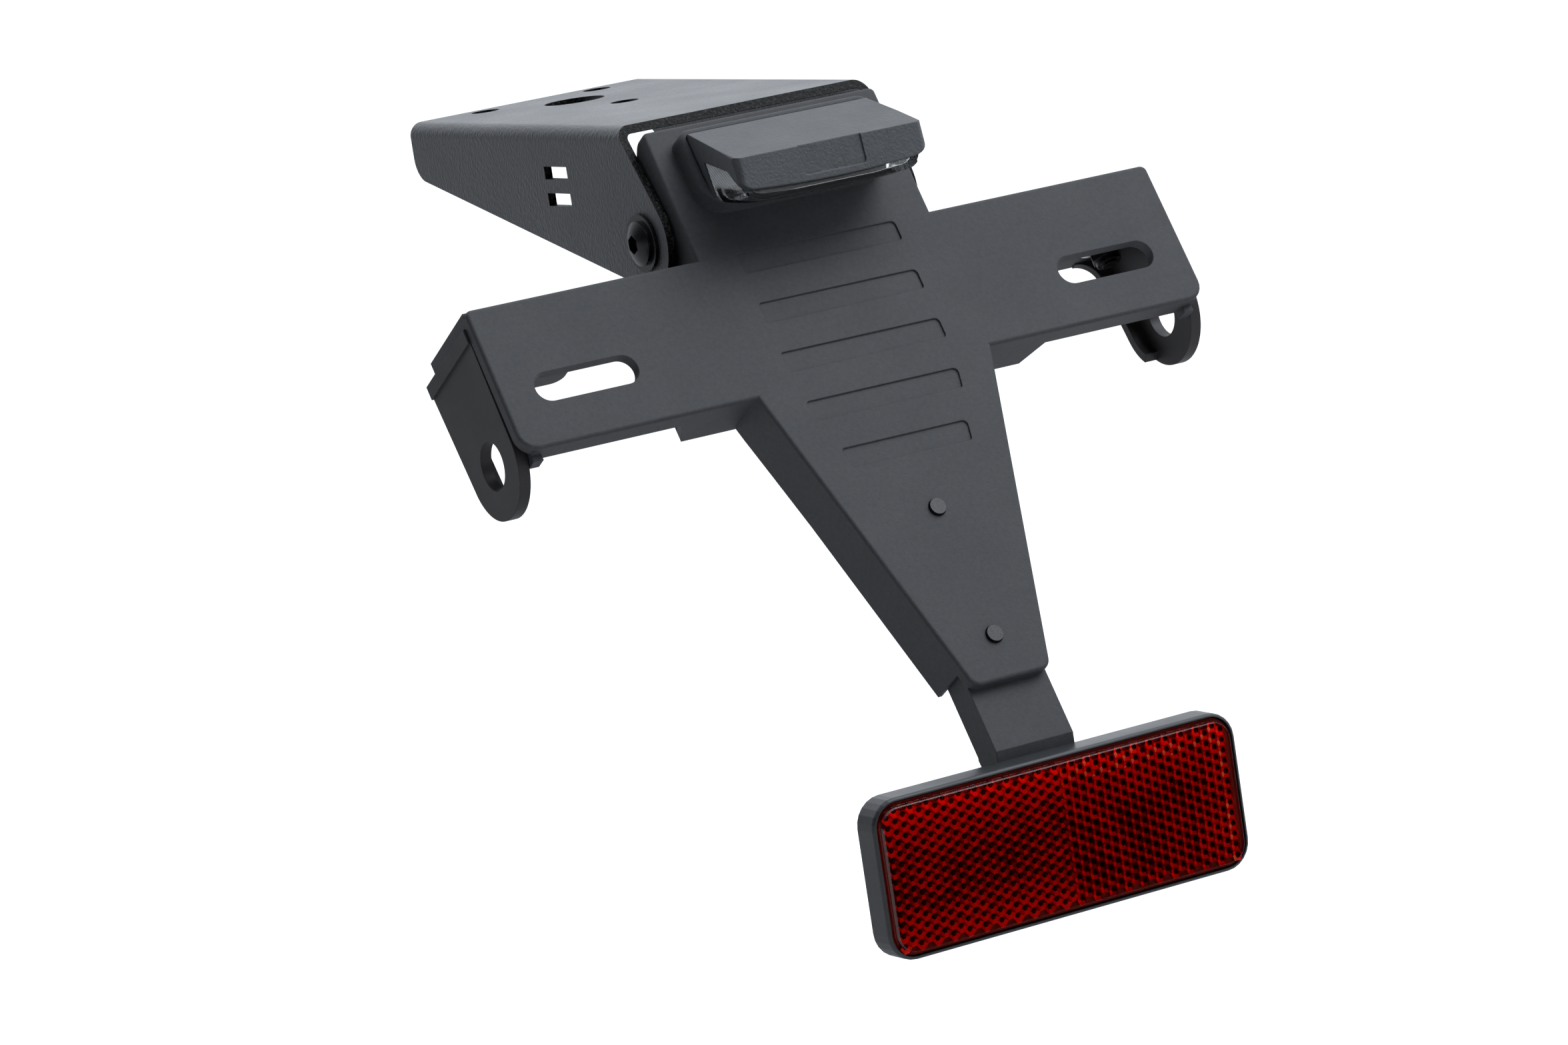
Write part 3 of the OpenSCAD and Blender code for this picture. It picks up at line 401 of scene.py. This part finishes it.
# Outline helpers for pieces that lie in the reflector's own upright plane
def roundedOutline(halfW, halfH, r, steps=8):
    pts = []
    for cx, cz, start in ((halfW - r, halfH - r, 0), (-halfW + r, halfH - r, 90),
                          (-halfW + r, -halfH + r, 180), (halfW - r, -halfH + r, 270)):
        for i in range(steps + 1):
            a = math.radians(start + 90 * i / steps)
            pts.append((cx + r * math.cos(a), cz + r * math.sin(a)))
    return pts


def newPiece(name, mesh, body):
    ob = bpy.data.objects.new(name, mesh)
    bpy.context.collection.objects.link(ob)
    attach(ob, body)
    return ob


# Reflector lens: a clear red cover with a raised field, over a field of cube corners, with a
# dark red backing behind them. Lengths are in millimetres, and places in the field in metres.
reflectorLens = {
    "rimStep": 1.6, "rimWidth": 0.9, "coverInset": 0.05, "cornerR": 5.5, "smallestR": 0.6,
    "prismDepth": 2.1, "prismSet": 0.9, "cell": 2.45, "cellRelief": 0.5, "fieldMargin": 2.6, "seed": 7,
    # the facet tones, the pit tone, the black, deep and bright stops around the red, the glint and the top,
    # foot and side bands are painted light and shade
    "pitSize": 0.52, "pitRise": 0.23, "pitFloor": 1.8, "shadeTones": (0.16, 0.24, 0.16, 0.36, 1.0, 0.42),
    "pitShade": 0.05, "turn": 60,
    "coverClear": (0.96, 0.40, 0.32), "coverGloss": (1, 0.9, 0.9), "coverRough": 0.06,
    "coverIor": 1.45, "edgeShine": 0.07,
    "black": (0.004, 0.0, 0.0), "deep": (0.10, 0.0, 0.0), "red": (0.95, 0.006, 0.003),
    "bright": (1.0, 0.02, 0.01), "glint": (1.0, 0.62, 0.40),
    "topBand": 0.016, "footBand": 0.012, "sideBand": 0.018, "litBase": 0.56, "litGain": 1.1,
    "backScale": 300, "backDark": (0.10, 0.0, 0.0), "backLight": (0.17, 0.001, 0.001),
    "backRough": 0.25, "backGap": 0.05, "backInset": 0.1,
}


def makeLensCover(look):
    low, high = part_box("reflector_lens")
    cx, cz = (low.x + high.x) / 2, (low.z + high.z) / 2
    halfW = (high.x - low.x) / 2 - look["coverInset"] * mm
    halfH = (high.z - low.z) / 2 - look["coverInset"] * mm
    front = low.y
    step, width, r = look["rimStep"] * mm, look["rimWidth"] * mm, look["cornerR"] * mm
    back = front + (look["prismDepth"] - 0.1) * mm
    # each ring: how far in from the edge, and how far back; the rim is rounded, then the step
    rings = [(0.0, back), (0.0, front + step + 0.25 * mm),
             (0.08 * mm, front + step + 0.08 * mm), (0.25 * mm, front + step),
             (width - 0.15 * mm, front + step), (width, front + step - 0.1 * mm),
             (width + 0.1 * mm, front + 0.15 * mm), (width + 0.25 * mm, front + 0.03 * mm),
             (width + 0.5 * mm, front)]
    bm = bmesh.new()
    loops = []
    for inset, y in rings:
        pts = roundedOutline(halfW - inset, halfH - inset, max(r - inset, look["smallestR"] * mm), 10)
        loops.append([bm.verts.new((cx + x, y, cz + z)) for x, z in pts])
    for a, b in zip(loops, loops[1:]):
        for i in range(len(a)):
            j = (i + 1) % len(a)
            bm.faces.new((a[i], a[j], b[j], b[i]))
    bm.faces.new(loops[0])
    bm.faces.new(list(reversed(loops[-1])))
    bmesh.ops.recalc_face_normals(bm, faces=bm.faces)
    mesh = bpy.data.meshes.new("reflectorCover")
    bm.to_mesh(mesh)
    bm.free()
    for f in mesh.polygons:
        f.use_smooth = len(f.vertices) == 4
    return mesh


def coverRed(name, look):
    mat, tree, bsdf = shaderTree(name)
    coords = tree.nodes.new("ShaderNodeTexCoord").outputs["Object"]
    clear = tree.nodes.new("ShaderNodeBsdfTransparent")
    clear.inputs["Color"].default_value = (*look["coverClear"], 1)
    shine = tree.nodes.new("ShaderNodeMixShader")
    fresnel = tree.nodes.new("ShaderNodeFresnel")
    fresnel.inputs["IOR"].default_value = look["coverIor"]
    gloss = tree.nodes.new("ShaderNodeBsdfGlossy")
    gloss.inputs["Roughness"].default_value = look["coverRough"]
    gloss.inputs["Color"].default_value = (*look["coverGloss"], 1)
    ripple = bump(tree, [(noise(tree, coords, 160, 2.0), 0.05, 0.2)], 0)
    tree.links.new(ripple, gloss.inputs["Normal"])
    tree.links.new(ripple, fresnel.inputs["Normal"])
    # the rounded step shines all the way round, and the flat face only at a slant
    facing = tree.nodes.new("ShaderNodeSeparateXYZ")
    tree.links.new(tree.nodes.new("ShaderNodeTexCoord").outputs["Normal"], facing.inputs[0])
    slope = sums(tree, "ABSOLUTE", facing.outputs["Y"], 0.0)
    rounded = rangeOf(tree, slope, 0.97, 0.6, 0.0, look["edgeShine"])
    flat = rangeOf(tree, fresnel.outputs[0], 0.045, 1.0, 0.0, 0.9)
    tree.links.new(sums(tree, "MAXIMUM", flat, rounded), shine.inputs[0])
    tree.links.new(clear.outputs[0], shine.inputs[1])
    tree.links.new(gloss.outputs[0], shine.inputs[2])
    tree.links.new(shine.outputs[0], tree.nodes["Material Output"].inputs["Surface"])
    tree.nodes.remove(bsdf)
    return mat


def cubeCorner(look):
    # One hexagonal cell: six facets around a hexagonal pit painted dark as shade, which sits above the middle
    # so that the lowest facet is the widest. The attribute on each face holds its painted light or shade by
    # how it faces the lamp, the lowest brightest as if lit from above.
    w = look["cell"] * mm / 2 / math.cos(math.radians(30))
    deep = look["cellRelief"] * mm
    size, rise = look["pitSize"], look["pitRise"]
    corners = [(math.cos(math.radians(60 * k)), math.sin(math.radians(60 * k))) for k in range(6)]
    bm = bmesh.new()
    facet = bm.faces.layers.float.new("facet")
    rim = [bm.verts.new((w * x, deep * (k % 2), w * z)) for k, (x, z) in enumerate(corners)]
    pit = [bm.verts.new((size * w * x, deep * (1.0 + 0.3 * (k % 2)), w * (rise + size * z)))
           for k, (x, z) in enumerate(corners)]
    floorPoint = bm.verts.new((0, deep * look["pitFloor"], rise * w))
    for k in range(6):
        j = (k + 1) % 6
        f = bm.faces.new((rim[k], rim[j], pit[j], pit[k]))
        f[facet] = look["shadeTones"][k]
        f = bm.faces.new((pit[k], pit[j], floorPoint))
        f[facet] = look["pitShade"] if k in (4, 5) else 0.0
    mesh = bpy.data.meshes.new("cubeCorner")
    bm.to_mesh(mesh)
    bm.free()
    return bpy.data.objects.new("cubeCorner", mesh)


def prismTree(look, cellObject, finish):
    tree = bpy.data.node_groups.new("prismField", "GeometryNodeTree")
    face = tree.interface
    face.new_socket("Geometry", in_out="INPUT", socket_type="NodeSocketGeometry")
    for label, value in (("Cell Width", look["cell"] * mm), ("Field Width", 0.09), ("Field Height", 0.03)):
        s = face.new_socket(label, in_out="INPUT", socket_type="NodeSocketFloat")
        s.default_value = value
    s = face.new_socket("Seed", in_out="INPUT", socket_type="NodeSocketInt")
    s.default_value = look["seed"]
    face.new_socket("Geometry", in_out="OUTPUT", socket_type="NodeSocketGeometry")
    new = tree.nodes.new
    link = tree.links.new
    ins = new("NodeGroupInput").outputs
    out = new("NodeGroupOutput")

    def calc(operation, a, b=0.0):
        n = new("ShaderNodeMath")
        n.operation = operation
        for slot, v in zip(n.inputs, (a, b)):
            if isinstance(v, (int, float)):
                slot.default_value = v
            else:
                link(v, slot)
        return n.outputs[0]

    pitchX = calc("MULTIPLY", ins["Cell Width"], math.sqrt(3) / 2)
    columns = calc("FLOOR", calc("DIVIDE", ins["Field Width"], pitchX))
    rows = calc("FLOOR", calc("DIVIDE", ins["Field Height"], ins["Cell Width"]))
    grid = new("GeometryNodeMeshGrid")
    link(calc("MULTIPLY", calc("SUBTRACT", columns, 1.0), pitchX), grid.inputs["Size X"])
    link(calc("MULTIPLY", calc("SUBTRACT", rows, 1.0), ins["Cell Width"]), grid.inputs["Size Y"])
    link(columns, grid.inputs["Vertices X"])
    link(rows, grid.inputs["Vertices Y"])
    # every second column is set half a cell lower
    column = calc("FLOOR", calc("DIVIDE", new("GeometryNodeInputIndex").outputs[0], rows))
    odd = calc("SUBTRACT", calc("MODULO", column, 2.0), 0.5)
    drop = calc("MULTIPLY", odd, calc("MULTIPLY", ins["Cell Width"], 0.5))
    shift = new("ShaderNodeCombineXYZ")
    link(drop, shift.inputs["Y"])
    moved = new("GeometryNodeSetPosition")
    link(grid.outputs["Mesh"], moved.inputs["Geometry"])
    link(shift.outputs[0], moved.inputs["Offset"])
    upright = new("GeometryNodeTransform")
    upright.inputs["Rotation"].default_value = (math.radians(90), 0, 0)
    link(moved.outputs[0], upright.inputs["Geometry"])
    place = new("GeometryNodeInstanceOnPoints")
    info = new("GeometryNodeObjectInfo")
    info.inputs["Object"].default_value = cellObject
    link(upright.outputs[0], place.inputs["Points"])
    link(info.outputs["Geometry"], place.inputs["Instance"])
    # the right-hand half is turned by a sixth, as the two moulded halves are
    where = new("ShaderNodeSeparateXYZ")
    link(new("GeometryNodeInputPosition").outputs[0], where.inputs[0])
    turn = calc("MULTIPLY", calc("GREATER_THAN", where.outputs["X"], 0.0), math.radians(look["turn"]))
    spin = new("ShaderNodeCombineXYZ")
    link(turn, spin.inputs["Y"])
    link(spin.outputs[0], place.inputs["Rotation"])
    spark = new("GeometryNodeStoreNamedAttribute")
    spark.domain = "INSTANCE"
    spark.data_type = "FLOAT"
    spark.inputs["Name"].default_value = "spark"
    value = new("FunctionNodeRandomValue")
    link(ins["Seed"], value.inputs["Seed"])
    link(value.outputs[1], spark.inputs["Value"])
    link(place.outputs[0], spark.inputs["Geometry"])
    real = new("GeometryNodeRealizeInstances")
    link(spark.outputs[0], real.inputs["Geometry"])
    paint = new("GeometryNodeSetMaterial")
    paint.inputs["Material"].default_value = finish
    link(real.outputs[0], paint.inputs["Geometry"])
    link(paint.outputs[0], out.inputs[0])
    return tree


def runTree(name, tree, values, where):
    holder = bpy.data.objects.new(name + "Maker", bpy.data.meshes.new(name + "Maker"))
    bpy.context.collection.objects.link(holder)
    mod = holder.modifiers.new("maker", "NODES")
    mod.node_group = tree
    for item in tree.interface.items_tree:
        if item.item_type == "SOCKET" and item.in_out == "INPUT" and item.name in values:
            mod[item.identifier] = values[item.name]
    bpy.context.view_layer.update()
    graph = bpy.context.evaluated_depsgraph_get()
    mesh = bpy.data.meshes.new_from_object(holder.evaluated_get(graph),
                                           preserve_all_data_layers=True, depsgraph=graph)
    mesh.name = name
    bpy.data.objects.remove(holder)
    mesh.transform(where)
    return mesh


def prismRed(name, look, box):
    mat, tree, bsdf = shaderTree(name)
    low, high = box
    facet = tree.nodes.new("ShaderNodeAttribute")
    facet.attribute_name = "facet"
    spark = tree.nodes.new("ShaderNodeAttribute")
    spark.attribute_name = "spark"
    coords = tree.nodes.new("ShaderNodeTexCoord").outputs["Object"]
    split = tree.nodes.new("ShaderNodeSeparateXYZ")
    tree.links.new(coords, split.inputs[0])
    x, z = split.outputs["X"], split.outputs["Z"]
    # painted light: the facets are painted brighter along the top, at the left of the foot, at the right edge
    # and in soft patches, where the cube corners send light back
    top = rangeOf(tree, z, high.z - look["topBand"], high.z, 0.0, 1.0)
    foot = rangeOf(tree, z, low.z, low.z + look["footBand"], 0.85, 0.0)
    footLeft = sums(tree, "MULTIPLY", foot, rangeOf(tree, x, -0.01, 0.02, 1.0, 0.0))
    side = rangeOf(tree, x, high.x - look["sideBand"], high.x, 0.0, 0.8)
    patch = rangeOf(tree, noise(tree, coords, 90, 3.0), 0.4, 0.7, 0.0, 0.35)
    lit = sums(tree, "MAXIMUM", sums(tree, "MAXIMUM", top, footLeft), sums(tree, "MAXIMUM", side, patch))
    lit = sums(tree, "ADD", sums(tree, "MULTIPLY", lit, look["litGain"]), look["litBase"])
    lit = sums(tree, "MULTIPLY", lit, rangeOf(tree, spark.outputs["Fac"], 0, 1, 0.6, 1.2))
    # painted light and shade: each facet's painted shade times the painted light, ramped from black shade up
    # to bright red
    tone = sums(tree, "MULTIPLY", facet.outputs["Fac"], lit)
    red = ramp(tree, tone, [(0.0, look["black"]), (0.12, look["deep"]), (0.40, look["red"]),
                            (0.95, look["bright"])])
    # some of the brightest facets in the right-hand half glint orange
    brightest = sums(tree, "GREATER_THAN", facet.outputs["Fac"], 0.9)
    edges = sums(tree, "GREATER_THAN", sums(tree, "MAXIMUM", top, side), 0.62)
    rightHalf = rangeOf(tree, x, 0.0, 0.01, 0.0, 1.0)
    flash = sums(tree, "MULTIPLY", brightest, sums(tree, "MULTIPLY", edges, rightHalf))
    flash = sums(tree, "MULTIPLY", flash, sums(tree, "GREATER_THAN", spark.outputs["Fac"], 0.4))
    mix = tree.nodes.new("ShaderNodeMix")
    mix.data_type = "RGBA"
    tree.links.new(flash, mix.inputs["Factor"])
    tree.links.new(red, mix.inputs["A"])
    mix.inputs["B"].default_value = (*look["glint"], 1)
    tree.links.new(mix.outputs["Result"], bsdf.inputs["Base Color"])
    bsdf.inputs["Roughness"].default_value = 0.28
    bsdf.inputs["Specular IOR Level"].default_value = 0.2
    tree.links.new(bump(tree, [(noise(tree, coords, 1900), 0.08, 0.05)], 0), bsdf.inputs["Normal"])
    return mat


def mouldedRed(name, look):
    mat, tree, bsdf = shaderTree(name)
    coords = tree.nodes.new("ShaderNodeTexCoord").outputs["Object"]
    cloud = noise(tree, coords, look["backScale"], 3.0)
    stops = [(0.3, look["backDark"]), (0.7, look["backLight"])]
    tree.links.new(ramp(tree, cloud, stops), bsdf.inputs["Base Color"])
    bsdf.inputs["Roughness"].default_value = look["backRough"]
    return mat


def makeReflector(look):
    low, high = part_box("reflector_lens")
    cover = newPiece("reflectorCover", makeLensCover(look), "holder")
    cover.data.materials.append(coverRed("coverRed", look))
    finish = prismRed("prismRed", look, (low, high))
    cellObject = cubeCorner(look)
    cellObject.data.materials.append(finish)
    tree = prismTree(look, cellObject, finish)
    margin = look["fieldMargin"] * mm
    values = {"Cell Width": look["cell"] * mm, "Field Width": high.x - low.x - margin,
              "Field Height": high.z - low.z - margin, "Seed": look["seed"]}
    cx, cz = (low.x + high.x) / 2, (low.z + high.z) / 2
    where = Matrix.Translation((cx, low.y + look["prismSet"] * mm, cz))
    mesh = runTree("reflectorPrisms", tree, values, where)
    bpy.data.objects.remove(cellObject)
    newPiece("reflectorPrisms", mesh, "holder")
    backing = bpy.data.meshes.new("reflectorBacking")
    inset = look["backInset"] * mm
    pts = roundedOutline((high.x - low.x) / 2 - inset, (high.z - low.z) / 2 - inset, look["cornerR"] * mm)
    n = len(pts)
    # its front lies just behind the floors of the pits
    deepest = look["prismSet"] + look["backGap"] + look["pitFloor"] * look["cellRelief"]
    yFront, yBack = low.y + deepest * mm, high.y - inset
    verts = [(cx + x, y, cz + z) for y in (yFront, yBack) for x, z in pts]
    faces = [tuple(range(n)), tuple(reversed(range(n, 2 * n)))]
    faces += [(i, n + i, n + (i + 1) % n, (i + 1) % n) for i in range(n)]
    backing.from_pydata(verts, [], faces)
    backing.materials.append(mouldedRed("backingRed", look))
    newPiece("reflectorBacking", backing, "holder")
    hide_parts("reflector_lens")


makeReflector(reflectorLens)
print("reflector cover and prisms made")
